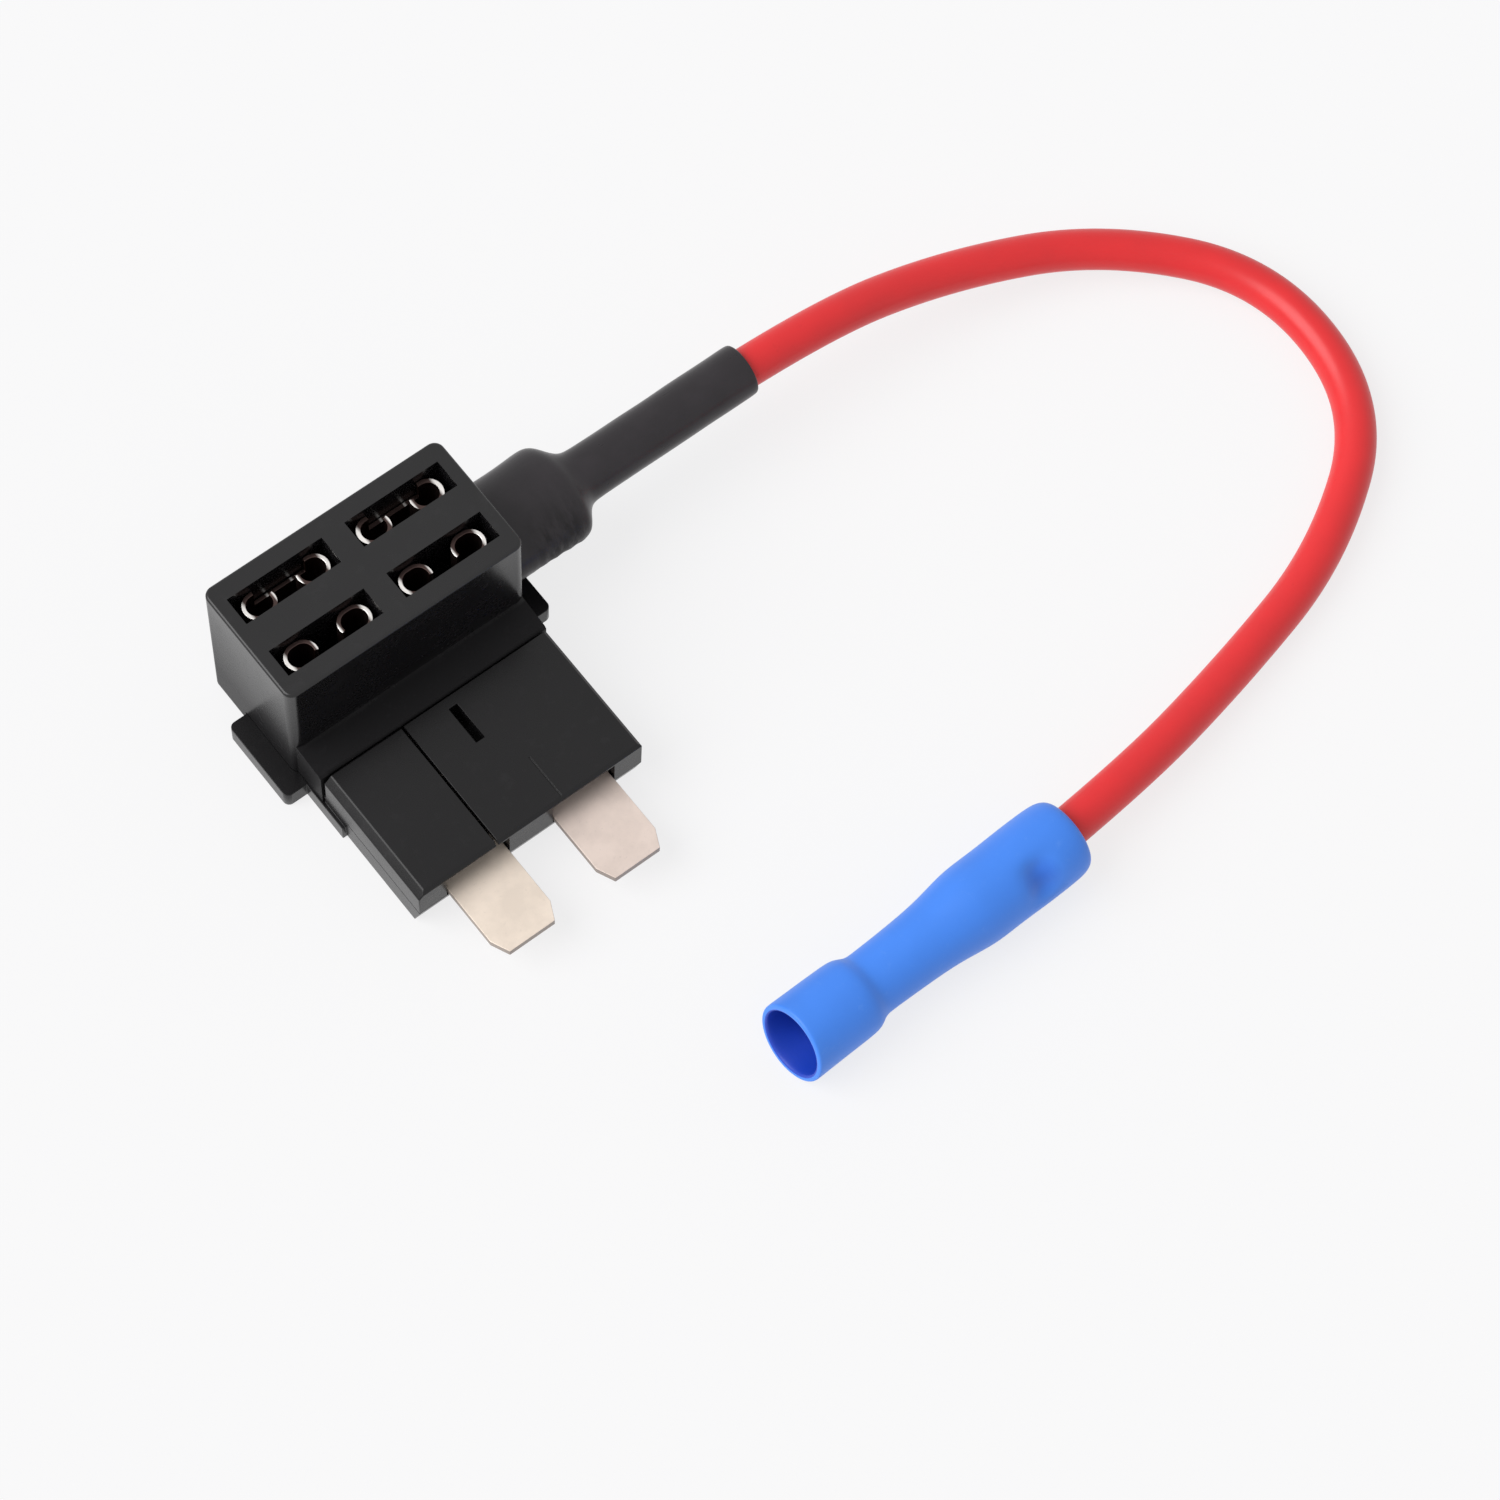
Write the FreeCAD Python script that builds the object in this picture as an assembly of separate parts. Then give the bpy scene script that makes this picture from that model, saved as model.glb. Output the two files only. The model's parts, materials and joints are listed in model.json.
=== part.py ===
import FreeCAD
import Part

import math
import os

# Blade fuse tap: a plug with two blades goes into a fuse socket, and a head with four
# spring sockets takes the old fuse and a new one. The new fuse feeds a short wire that
# ends in a crimp splice. All sizes are in millimetres.
#
# Frame: the part lies on its base. X = 0 is the plane midway between the two blades and
# +X points where the wire leaves. The blades point to -Y. Z = 0 is the base's underside
# and +Z is up, the way the sockets open. The origin is midway along the body.

# Head, the upright block that holds the sockets
head_width = 20.24
head_front = 2.55
head_back = 7.87
head_top = 13.9
head_corner_radius = 0.8
head_rim_radius = 0.25
side_wall = 1.1
skirt_bottom = 0.5

# Ledge at the head's front foot, one moulding with the head
ledge_width = 19.7
ledge_depth = 2.7
ledge_slope_rise = 0.3
ledge_edge_bevel = 0.2

# Sockets for the two fuses, in a front row and a back row
socket_length = 8.05
socket_width = 2.36
socket_spacing = 10.0
front_row_y = 0.18
row_pitch = 4.95

# Plug plate that goes into the vehicle's fuse box
plug_width = 19.42
plug_length = 11.38
plug_bottom = 0.3
plug_top = 5.4
plug_left_bevel = 0.59
plug_right_bevel = 0.25
plug_front_bevel = 0.25
plug_nose_setback = 0.7
panel_seam_x = -2.91
seam_gap = 0.18
catch_left = 0.5
catch_width = 0.75
catch_length = 3.25
catch_start = 1.0
catch_depth = 2.5
groove_x = 2.8
groove_width = 0.1
groove_depth = 0.08
groove_length = 4.0
nose_pocket_depth = 1.2
nose_pocket_height = 1.82

# Base plate with its two side tabs
base_thickness = 1.6
base_front = 7.8
base_front_width = 20.0
left_tab_reach = 1.6
left_tab_front = 3.5
left_tab_back = 3.58
right_tab_reach = 2.13
right_tab_front = 2.7
right_tab_back = 3.4
tab_corner_radius = 0.5

# Blades and the strips that carry them back under the sockets
blade_width = 5.2
blade_thickness = 0.65
blade_spacing = 9.2
blade_exposed = 6.25
blade_corner_width = 0.65
blade_corner_length = 1.4
blade_bed = 2.475

# Spring sockets, folded from thin sheet: a flat wall with a curl along each side
sheet = 0.32
contact_end_gap = 0.45
contact_inset = 0.1
contact_below_top = 1.0
entry_notch_depth = 1.6
entry_notch_margin = 0.1
foot_width = 2.0
curl_lift = 0.4
curl_flat = 0.36
curl_end_angle = 15.0

# Terminal that joins the back right socket to the wire
wire_y = 2.55
wire_z = 6.4
band_height = 3.0
riser_width = 2.0
riser_margin = 0.1
crimp_start = 1.45
crimp_length = 3.5
crimp_clearance = 0.02

# Wire: stranded conductor in soft insulation
insulation_radius = 1.55
conductor_radius = 0.72
conductor_gap = 0.03
strip_gap = 0.1
insulation_start = 5.55

# Shrink sleeve over the crimp and the start of the wire
sleeve_half_depth = 4.1
sleeve_half_height = 2.9
sleeve_wall = 0.9
sleeve_thick_length = 6.25
sleeve_shoulder_length = 2.2
sleeve_neck_radius = 2.1
sleeve_length = 23.38

# Crimp splice on the wire's free end, measured from the end where the wire goes in
splice_turn = 181.83
splice_length = 26.03
splice_grip_radius = 3.15
splice_grip_length = 8.8
splice_body_radius = 2.58
splice_body_at = 13.2
splice_waist_radius = 2.43
splice_waist_at = 18.2
splice_mouth_radius = 3.08
splice_mouth_start = 20.2
splice_end_bevel = 0.5
splice_bore_radius = 2.5
splice_entry_radius = 2.4
splice_entry_depth = 4.5
splice_mouth_tilt = 11.5
dent_at = 4.4
dent_radius = 2.4
dent_depth = 0.45
dent_turn = 43.5
barrel_start = 6.5
barrel_radius = 1.9
barrel_length = 11.5
barrel_crimp_length = 5.3
barrel_stop_length = 1.0
barrel_bore_radius = 1.4
barrel_gap = 0.02
throat_margin = 0.3
wire_gap = 0.1

# Clearance round sheet metal in its channels, and how far a cut runs past a face
fit_gap = 0.1
cut_margin = 1.0

# The wire's route from inside the sleeve's neck into the splice, point by point along its middle
route = [
    (27.5, 2.55, 6.4),
    (39.6, 2.55, 6.4),
    (51.7, 1.1, 4.0),
    (63.1, -3.3, 2.5),
    (71.8, -12.7, 1.6),
    (70.5, -25.7, 1.6),
    (60.0, -33.1, 1.6),
    (48.2, -36.2, 1.8),
    (35.7, -38.75, 3.15),
    (23.58, -39.46, 3.15),
]
arc_share = 0.45

# Worked-out places
half_head = head_width / 2
half_plug = plug_width / 2
half_ledge = ledge_width / 2
half_base_front = base_front_width / 2
cavity_half = half_head - side_wall
ledge_y = -head_front - ledge_depth
plug_front_y = ledge_y - plug_length
blade_tip_y = plug_front_y - blade_exposed
blade_top = blade_bed + blade_thickness
back_row_y = front_row_y + row_pitch
cavity_front = front_row_y - socket_width / 2
cavity_back = back_row_y + socket_width / 2
strip_front_end = front_row_y + socket_width / 2
foot_top = blade_top + sheet
chamber_top = foot_top + fit_gap
contact_top = head_top - contact_below_top
contact_span = socket_length - 2 * contact_end_gap
contact_spacing = socket_spacing - 2 * contact_inset
curl_radius = (socket_width - fit_gap) / 2
crimp_inner = conductor_radius + crimp_clearance
crimp_outer = crimp_inner + sheet
band_near = wire_y + crimp_inner
band_far = wire_y + crimp_outer
crimp_x = half_head + crimp_start
sleeve_end_x = half_head + sleeve_length
UP = FreeCAD.Vector(0, 0, 1)
ALONG_X = FreeCAD.Vector(1, 0, 0)


def box(x0, x1, y0, y1, z0, z1):
    """A block between two corners."""
    return Part.makeBox(x1 - x0, y1 - y0, z1 - z0, FreeCAD.Vector(x0, y0, z0))


def rod(radius, length, start, direction):
    """A round rod from a start point."""
    return Part.makeCylinder(radius, length, start, direction)


def prism_along_x(outline, x0, x1):
    """Extrude an outline of (y, z) points from x0 to x1."""
    points = [FreeCAD.Vector(x0, y, z) for y, z in outline]
    face = Part.Face(Part.makePolygon(points + [points[0]]))
    return face.extrude(FreeCAD.Vector(x1 - x0, 0, 0))


def prism_up(outline, z0, z1):
    """Extrude an outline of (x, y) points from z0 to z1."""
    points = [FreeCAD.Vector(x, y, z0) for x, y in outline]
    face = Part.Face(Part.makePolygon(points + [points[0]]))
    return face.extrude(FreeCAD.Vector(0, 0, z1 - z0))


def is_upright(edge):
    """True for a straight edge that runs along Z."""
    if len(edge.Vertexes) != 2:
        return False
    start, end = edge.Vertexes[0].Point, edge.Vertexes[1].Point
    return abs(start.x - end.x) + abs(start.y - end.y) < 1e-6 < abs(start.z - end.z)


def export(shape, name):
    """Write one node, made of its solids only."""
    solid = shape.removeSplitter()
    if len(solid.Solids) == 1:
        solid = solid.Solids[0]
    solid.exportStep("parts/" + name + ".step")
    print(name, "volume", round(solid.Volume, 3), "solids", len(shape.Solids), "valid", solid.isValid())


def head_block():
    """The upright block with rounded corners and a softened top rim."""
    block = box(-half_head, half_head, -head_front, head_back, skirt_bottom, head_top)
    corners = [edge for edge in block.Edges if is_upright(edge)]
    block = block.makeFillet(head_corner_radius, corners)
    rim = [edge for edge in block.Edges if edge.BoundBox.ZMin > head_top - 1e-6]
    return block.makeFillet(head_rim_radius, rim)


def ledge_block():
    """The low foot in front of the head, with a slightly sloping top."""
    outline = [
        (ledge_y, base_thickness),
        (ledge_y, plug_top - ledge_edge_bevel),
        (ledge_y + ledge_edge_bevel, plug_top),
        (-head_front, plug_top + ledge_slope_rise),
        (cavity_front, plug_top + ledge_slope_rise),
        (cavity_front, base_thickness),
    ]
    return prism_along_x(outline, -half_ledge, half_ledge)


def strip_channels(y0, y1):
    """Clearance for the two blade strips between y0 and y1."""
    half = blade_width / 2 + fit_gap
    cuts = []
    for side in (-1, 1):
        middle = side * blade_spacing / 2
        cuts.append(box(middle - half, middle + half, y0, y1, blade_bed, blade_top + fit_gap))
    return cuts


def skirt_cuts():
    """Openings at the head's foot: over the base plate and over its side tabs."""
    front_line = -head_front + side_wall
    cuts = [
        box(-cavity_half, cavity_half, -head_front - cut_margin, cavity_back, skirt_bottom, base_thickness),
        box(-half_head, half_head, -head_front - cut_margin, front_line, skirt_bottom, base_thickness),
    ]
    for side, back in ((-1, left_tab_back), (1, right_tab_back)):
        x0, x1 = sorted((side * (cavity_half - fit_gap), side * (half_head + cut_margin)))
        tab_back = back + fit_gap
        cuts.append(box(x0, x1, -head_front - cut_margin, tab_back, skirt_bottom, base_thickness + fit_gap))
    return cuts


def socket_housing():
    """Head and ledge in one moulding, hollow below and open through the four sockets."""
    body = head_block().fuse(ledge_block())
    cuts = [box(-cavity_half, cavity_half, ledge_y, cavity_back, base_thickness, blade_bed)]
    cuts += skirt_cuts()
    cuts += strip_channels(ledge_y, cavity_front)
    for side in (-1, 1):
        x0 = side * socket_spacing / 2 - socket_length / 2
        x1 = x0 + socket_length
        cuts.append(box(x0, x1, cavity_front, cavity_back, blade_bed, chamber_top))
        for row_y in (front_row_y, back_row_y):
            y0 = row_y - socket_width / 2
            cuts.append(box(x0, x1, y0, y0 + socket_width, blade_bed, head_top + cut_margin))
    cuts += terminal_room()
    return body.cut(cuts)


def terminal_room():
    """Room for the wire terminal: a pocket beside its socket and a slit in the end wall."""
    riser_right = contact_spacing / 2 + contact_span / 2 + fit_gap + riser_width
    x1 = min(riser_right, socket_spacing / 2 + socket_length / 2)
    x0 = riser_left_x() - fit_gap
    y0 = band_near - fit_gap
    y1 = band_far + fit_gap
    top = wire_z + band_height / 2 + fit_gap
    pocket = box(x0, x1, y0, back_row_y - socket_width / 2, blade_bed, top)
    slit = box(x1 - fit_gap, half_head + cut_margin, y0, y1, skirt_bottom, top)
    return [pocket, slit]


def base_shell():
    """Base plate, its side tabs, the bed under the strips and the plug's lower half."""
    front_line = -head_front + side_wall - fit_gap
    front_plate = box(-half_base_front, half_base_front, -base_front, front_line, 0, base_thickness)
    bed_half = cavity_half - fit_gap
    back_plate = box(-bed_half, bed_half, front_line, cavity_back - fit_gap, 0, base_thickness)
    bed = box(-bed_half, bed_half, ledge_y, cavity_back - fit_gap, base_thickness, blade_bed)
    nose = [
        (ledge_y, plug_bottom),
        (ledge_y, blade_bed),
        (plug_front_y, blade_bed),
        (plug_front_y + plug_nose_setback, plug_bottom),
    ]
    lower_plug = prism_along_x(nose, -half_plug, half_plug)
    left_tab = tab(-1, left_tab_reach, left_tab_front, left_tab_back)
    right_tab = tab(1, right_tab_reach, right_tab_front, right_tab_back)
    return front_plate.fuse([back_plate, bed, lower_plug, left_tab, right_tab])


def tab(side, reach, front, back):
    """A flat ear on the base plate, with rounded outer corners."""
    root = half_head - side_wall
    x0, x1 = sorted((side * root, side * (half_head + reach)))
    ear = box(x0, x1, -front, back, 0, base_thickness)
    outer = [edge for edge in ear.Edges if is_upright(edge) and side * edge.Vertexes[0].X > half_head]
    return ear.makeFillet(tab_corner_radius, outer)


def plug_panels():
    """The plug's upper half before it is split into its two panels."""
    foot_y = ledge_y - seam_gap
    block = box(-half_plug, half_plug, plug_front_y, foot_y, blade_bed, plug_top)
    cuts = []
    for side, bevel in ((-1, plug_left_bevel), (1, plug_right_bevel)):
        wedge = [
            (side * (half_plug - bevel), plug_top),
            (side * half_plug, plug_top),
            (side * half_plug, plug_top - bevel),
        ]
        points = [FreeCAD.Vector(x, plug_front_y - cut_margin, z) for x, z in wedge]
        face = Part.Face(Part.makePolygon(points + [points[0]]))
        cuts.append(face.extrude(FreeCAD.Vector(0, foot_y - plug_front_y + 2 * cut_margin, 0)))
    front_wedge = [
        (plug_front_y, plug_top - plug_front_bevel),
        (plug_front_y + plug_front_bevel, plug_top),
        (plug_front_y, plug_top),
    ]
    cuts.append(prism_along_x(front_wedge, -half_plug, half_plug))
    cuts += strip_channels(plug_front_y, foot_y)
    half_pocket = blade_width / 2 + fit_gap
    pocket_top = blade_top + nose_pocket_height
    pocket_back = plug_front_y + nose_pocket_depth
    for side in (-1, 1):
        middle = side * blade_spacing / 2
        x0, x1 = middle - half_pocket, middle + half_pocket
        cuts.append(box(x0, x1, plug_front_y, pocket_back, blade_bed, pocket_top))
    return block.cut(cuts)


def plug_panel_left():
    """The narrow upper panel, left of the long seam."""
    keep = box(-half_plug, panel_seam_x - seam_gap / 2, plug_front_y, ledge_y, plug_bottom, plug_top)
    return plug_panels().common(keep)


def plug_panel_right():
    """The wide upper panel, with the catch slot and a faint mould line."""
    keep = box(panel_seam_x + seam_gap / 2, half_plug, plug_front_y, ledge_y, plug_bottom, plug_top)
    catch_y = ledge_y - catch_start
    catch = box(
        catch_left, catch_left + catch_width,
        catch_y - catch_length, catch_y,
        plug_top - catch_depth, plug_top,
    )
    groove = box(
        groove_x - groove_width / 2, groove_x + groove_width / 2,
        plug_front_y, plug_front_y + groove_length,
        plug_top - groove_depth, plug_top,
    )
    return plug_panels().common(keep).cut([catch, groove])


def blade_strip(side, strip_end_y):
    """A flat blade with clipped tip corners, running back to strip_end_y."""
    middle = side * blade_spacing / 2
    half = blade_width / 2
    outline = [
        (middle - half, strip_end_y),
        (middle - half, blade_tip_y + blade_corner_length),
        (middle - half + blade_corner_width, blade_tip_y),
        (middle + half - blade_corner_width, blade_tip_y),
        (middle + half, blade_tip_y + blade_corner_length),
        (middle + half, strip_end_y),
    ]
    return prism_up(outline, blade_bed, blade_top)


def long_rod(radius, z0, z1):
    """An upright rod with two round ends and a flat between them along X."""
    half_flat = curl_flat / 2
    ends = [rod(radius, z1 - z0, FreeCAD.Vector(x, 0, z0), UP) for x in (-half_flat, half_flat)]
    return box(-half_flat, half_flat, -radius, radius, z0, z1).fuse(ends)


def curl(side, wall_side, z0, z1):
    """One rolled side of a spring socket, open between its inner edge and the wall."""
    tube = long_rod(curl_radius, z0, z1).cut(long_rod(curl_radius - sheet, z0, z1))
    inner_x = -side * 2 * curl_radius
    far_y = wall_side * 2 * curl_radius
    edge_y = far_y * math.tan(math.radians(curl_end_angle))
    opening = prism_up([(0, 0), (inner_x, edge_y), (inner_x, 2 * far_y), (0, 2 * far_y)], z0, z1)
    return tube.cut(opening)


def spring_socket(x, y, wall_side, foot_z):
    """A spring socket: flat wall on one long side, two curls and a foot."""
    foot_upper = foot_z + sheet
    wall_outer = wall_side * curl_radius
    wall_inner = wall_outer - wall_side * sheet
    y0, y1 = sorted((wall_outer, wall_inner))
    curl_middle = (contact_span - curl_flat) / 2 - curl_radius
    wall = box(-curl_middle, curl_middle, y0, y1, foot_upper + curl_lift, contact_top)
    half_notch = curl_middle - entry_notch_margin
    notch = box(-half_notch, half_notch, y0, y1, contact_top - entry_notch_depth, contact_top)
    pieces = [wall.cut(notch)]
    for side in (-1, 1):
        roll = curl(side, wall_side, foot_upper + curl_lift, contact_top)
        roll.translate(FreeCAD.Vector(side * curl_middle, 0, 0))
        pieces.append(roll)
    half_foot = foot_width / 2
    pieces.append(box(-half_foot, half_foot, y0, y1, foot_z, foot_upper + curl_lift))
    pieces.append(box(-half_foot, half_foot, -curl_radius, curl_radius, foot_z, foot_upper))
    socket = pieces[0].fuse(pieces[1:])
    socket.translate(FreeCAD.Vector(x, y, 0))
    return socket


def riser_left_x():
    """Left side of the terminal's riser, beside the right curl of its socket."""
    return contact_spacing / 2 + contact_span / 2 - riser_width + riser_margin


def tap_terminal():
    """Back right socket, the strip through the end wall and the crimp, in one folded piece."""
    middle = contact_spacing / 2
    socket = spring_socket(middle, back_row_y, 1, blade_bed)
    riser_x0 = riser_left_x()
    riser_x1 = riser_x0 + riser_width
    foot_back = back_row_y + curl_radius
    foot = box(middle - foot_width / 2, riser_x1, band_near, foot_back, blade_bed, blade_bed + sheet)
    band_top = wire_z + band_height / 2
    riser = box(riser_x0, riser_x1, band_near, band_far, blade_bed, band_top)
    band = box(riser_x0, crimp_x + crimp_length, band_near, band_far, wire_z - band_height / 2, band_top)
    start = FreeCAD.Vector(crimp_x, wire_y, wire_z)
    crimp = rod(crimp_outer, crimp_length, start, ALONG_X)
    bore = rod(crimp_inner, crimp_length, start, ALONG_X)
    return socket.fuse([foot, riser, band, crimp]).cut(bore)


def ellipse_wire(x, half_depth, half_height):
    """A closed elliptical wire across the wire's axis at x."""
    middle = FreeCAD.Vector(x, wire_y, wire_z)
    if half_depth - half_height < 1e-6:
        return Part.Wire(Part.Circle(middle, ALONG_X, half_height).toShape())
    long_end = middle + FreeCAD.Vector(0, half_depth, 0)
    short_end = middle + FreeCAD.Vector(0, 0, half_height)
    return Part.Wire(Part.Ellipse(long_end, short_end, middle).toShape())


def sleeve_form(half_depth, half_height, neck, thick, shoulder, end):
    """Oval over the crimp, a rounded shoulder and a round neck."""
    steps = 6
    x0 = half_head
    x1 = x0 + thick
    sections = [ellipse_wire(x0, half_depth, half_height)]
    for step in range(steps + 1):
        share = step / steps
        blend = (1 + math.cos(math.pi * share)) / 2
        depth = neck + (half_depth - neck) * blend
        height = neck + (half_height - neck) * blend
        sections.append(ellipse_wire(x1 + shoulder * share, depth, height))
    form = Part.makeLoft(sections, True, True)
    middle = FreeCAD.Vector(x1 + shoulder, wire_y, wire_z)
    return form.fuse(rod(neck, end - x1 - shoulder, middle, ALONG_X))


def heat_shrink_sleeve():
    """Thick and oval over the crimp, then narrow along the wire."""
    outer = sleeve_form(
        sleeve_half_depth, sleeve_half_height, sleeve_neck_radius,
        sleeve_thick_length, sleeve_shoulder_length, sleeve_end_x,
    )
    inner = sleeve_form(
        sleeve_half_depth - sleeve_wall, sleeve_half_height - sleeve_wall, insulation_radius,
        sleeve_thick_length - sleeve_wall / 2, sleeve_shoulder_length - sleeve_wall / 2, sleeve_end_x,
    )
    return outer.cut(inner)


def route_path():
    """Straight runs joined by tangent arcs; prints each arc's radius."""
    points = [FreeCAD.Vector(*point) for point in route]
    edges = []
    start = points[0]
    length = 0.0
    for before, corner, after in zip(points, points[1:], points[2:]):
        run_in = corner - before
        run_out = after - corner
        reach = arc_share * min(run_in.Length, run_out.Length)
        turn = run_in.getAngle(run_out)
        radius = reach / math.tan(turn / 2)
        way_in = FreeCAD.Vector(run_in).normalize()
        way_out = FreeCAD.Vector(run_out).normalize()
        arc_start = corner - way_in * reach
        arc_end = corner + way_out * reach
        towards = (way_out - way_in).normalize()
        arc_middle = corner + towards * (radius / math.cos(turn / 2) - radius)
        edges.append(Part.LineSegment(start, arc_start).toShape())
        edges.append(Part.Arc(arc_start, arc_middle, arc_end).toShape())
        length += (arc_start - start).Length + radius * turn
        start = arc_end
        print("arc radius", round(radius, 1), "turn", round(math.degrees(turn), 1))
    edges.append(Part.LineSegment(start, points[-1]).toShape())
    length += (points[-1] - start).Length
    return Part.Wire(edges), length


def swept_rod(path, radius):
    """A round rod along the route."""
    first, second = FreeCAD.Vector(*route[0]), FreeCAD.Vector(*route[1])
    section = Part.Wire(Part.Circle(first, second - first, radius).toShape())
    return path.makePipeShell([section], True, True)


def splice_axis():
    """Where the wire enters the splice, and the way the splice points."""
    turn = math.radians(splice_turn)
    way = FreeCAD.Vector(math.cos(turn), math.sin(turn), 0)
    return FreeCAD.Vector(*route[-1]) - way * (barrel_start - strip_gap), way


def wire_run(radius, start_x):
    """A rod from inside the sleeve's thick part, along the route and almost to the barrel."""
    path, length = route_path()
    tube = swept_rod(path, radius)
    exact = math.pi * radius ** 2 * length
    print("route length", round(length, 2), "tube to exact volume", round(tube.Volume / exact, 5))
    first = FreeCAD.Vector(*route[0])
    lead_start = FreeCAD.Vector(start_x, first.y, first.z)
    return tube.fuse(rod(radius, first.x - start_x, lead_start, ALONG_X))


def wire_insulation():
    """Soft insulation, from inside the sleeve to the splice's barrel."""
    start_x = half_head + insulation_start
    return wire_run(insulation_radius, start_x).cut(wire_run(conductor_radius + conductor_gap, start_x))


def wire_conductor():
    """The conductor, bare in the terminal's crimp and in the splice's barrel."""
    way = splice_axis()[1]
    bare_end = rod(conductor_radius, strip_gap + barrel_crimp_length, FreeCAD.Vector(*route[-1]), way)
    return wire_run(conductor_radius, crimp_x).fuse(bare_end)


def revolved(outline):
    """Turn a closed outline of edges in the x-z plane about the x axis."""
    face = Part.Face(Part.Wire(outline))
    return face.revolve(FreeCAD.Vector(0, 0, 0), ALONG_X, 360)


def line(start, end):
    """A straight edge between two (x, radius) points."""
    return Part.LineSegment(FreeCAD.Vector(start[0], 0, start[1]), FreeCAD.Vector(end[0], 0, end[1])).toShape()


def easing(start, end):
    """A smooth edge between two (x, radius) points, level at both ends."""
    third = (end[0] - start[0]) / 3
    poles = [start, (start[0] + 1.2 * third, start[1]), (end[0] - 1.2 * third, end[1]), end]
    curve = Part.BezierCurve()
    curve.setPoles([FreeCAD.Vector(x, 0, radius) for x, radius in poles])
    return curve.toShape()


def placed_on_splice(shape):
    """Move a piece from its own axis to the splice's place."""
    shape.rotate(FreeCAD.Vector(0, 0, 0), UP, splice_turn)
    shape.translate(splice_axis()[0])
    return shape


def splice_insulator():
    """Soft sleeve of the splice: gripped end, waist, flared mouth and the bore through it."""
    grip = (splice_grip_length, splice_grip_radius)
    body = (splice_body_at, splice_body_radius)
    waist = (splice_waist_at, splice_waist_radius)
    flare = (splice_mouth_start, splice_mouth_radius)
    mouth = (splice_length, splice_mouth_radius)
    rim_start = (0, splice_grip_radius - splice_end_bevel)
    rim_end = (splice_end_bevel, splice_grip_radius)
    outer = revolved([
        line((0, 0), rim_start), line(rim_start, rim_end), line(rim_end, grip),
        easing(grip, body), easing(body, waist), easing(waist, flare), line(flare, mouth),
        line(mouth, (splice_length, 0)), line((splice_length, 0), (0, 0)),
    ])
    grip_bore = insulation_radius + wire_gap
    throat_at = barrel_start + barrel_length + throat_margin
    far_end = splice_length + cut_margin
    corners = [
        (0, 0), (0, splice_entry_radius), (splice_entry_depth, grip_bore), (barrel_start, grip_bore),
        (barrel_start, barrel_radius), (throat_at, barrel_radius),
        (splice_mouth_start, splice_bore_radius), (far_end, splice_bore_radius), (far_end, 0),
    ]
    bore = revolved([line(a, b) for a, b in zip(corners, corners[1:] + corners[:1])])
    return placed_on_splice(outer.cut([bore, mouth_cut(), crimp_dent()]))


def mouth_cut():
    """The slanting cut across the mouth, furthest out at the bottom."""
    size = 4 * splice_mouth_radius
    block = box(0, size, -size, size, 0, 2 * size)
    low_edge = FreeCAD.Vector(splice_length, 0, -splice_mouth_radius)
    block.rotate(FreeCAD.Vector(0, 0, 0), FreeCAD.Vector(0, 1, 0), -splice_mouth_tilt)
    block.translate(low_edge)
    return block


def crimp_dent():
    """The shallow dent that the crimping tool left in the gripped end."""
    reach = splice_grip_radius + dent_radius - dent_depth
    length = 4 * splice_grip_radius
    tool = rod(dent_radius, length, FreeCAD.Vector(dent_at, reach, -length / 2), UP)
    tool.rotate(FreeCAD.Vector(0, 0, 0), ALONG_X, dent_turn)
    return tool


def splice_barrel():
    """Metal barrel in the splice: crimped on the wire, with a stop and an open bore."""
    radius = barrel_radius - barrel_gap
    stop = barrel_crimp_length + barrel_stop_length
    tube = rod(radius, barrel_length, FreeCAD.Vector(barrel_start, 0, 0), ALONG_X)
    wire_bore = rod(crimp_inner, barrel_crimp_length, FreeCAD.Vector(barrel_start, 0, 0), ALONG_X)
    open_start = FreeCAD.Vector(barrel_start + stop, 0, 0)
    open_bore = rod(barrel_bore_radius, barrel_length - stop, open_start, ALONG_X)
    return placed_on_splice(tube.cut([wire_bore, open_bore]))


def main():
    """Build every piece and write one file for each."""
    os.makedirs("parts", exist_ok=True)
    left, right = -contact_spacing / 2, contact_spacing / 2
    export(socket_housing(), "socket_housing")
    export(base_shell(), "base_shell")
    export(plug_panel_left(), "plug_panel_left")
    export(plug_panel_right(), "plug_panel_right")
    export(blade_strip(-1, cavity_back - fit_gap), "feed_blade")
    export(blade_strip(1, strip_front_end), "return_blade")
    export(spring_socket(left, front_row_y, -1, blade_top), "socket_contact_front_left")
    export(spring_socket(left, back_row_y, 1, blade_top), "socket_contact_back_left")
    export(spring_socket(right, front_row_y, -1, blade_top), "socket_contact_front_right")
    export(tap_terminal(), "tap_terminal")
    export(heat_shrink_sleeve(), "heat_shrink_sleeve")
    export(wire_insulation(), "wire_insulation")
    export(wire_conductor(), "wire_conductor")
    export(splice_insulator(), "splice_insulator")
    export(splice_barrel(), "splice_barrel")


main()
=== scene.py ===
import json
import math

import bpy
from bpy.props import FloatProperty, FloatVectorProperty, IntProperty, PointerProperty
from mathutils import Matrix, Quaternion, Vector, noise


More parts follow.
